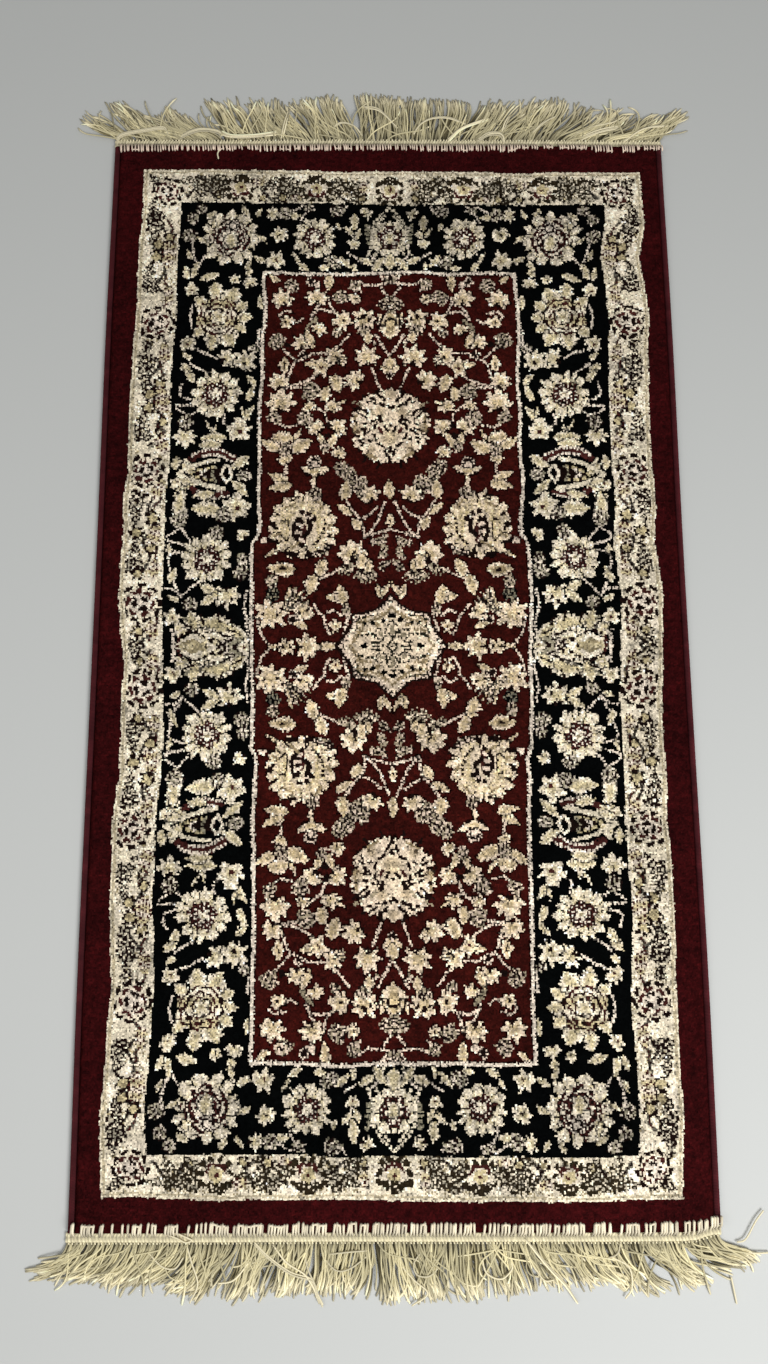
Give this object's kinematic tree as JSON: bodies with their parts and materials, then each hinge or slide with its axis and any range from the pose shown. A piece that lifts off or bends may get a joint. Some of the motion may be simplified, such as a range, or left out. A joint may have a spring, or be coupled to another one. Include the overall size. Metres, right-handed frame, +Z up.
{
  "type": "bedside runner rug with fringed ends",
  "caption": "Flat rectangular pile rug with overcast long sides, a traditional floral border pattern and a yarn fringe on a stitched tape at each short end.",
  "frame": {"origin": "centre of the rug on the floor, under its box", "axes": "+Y along the rug's length towards its far fringe, +X across it to the right, +Z up"},
  "size_m": [0.6791, 1.2297, 0.009],
  "materials": {
    "pile": "short cut pile in deep red, near black, cream and gold beige, matt with a faint nap",
    "backing": "plain jute-coloured woven back with the pattern's colours showing through",
    "binding": "deep red overcast yarn, wound close, slightly smoother than the pile",
    "fringe": "cream twisted yarn with loose cut ends, on a chain-stitched tape"
  },
  "bodies": {
    "root": {"rug_body": "pile", "binding_left": "binding", "binding_right": "binding", "fringe_near": "fringe", "fringe_far": "fringe"}
  },
  "joints": []
}
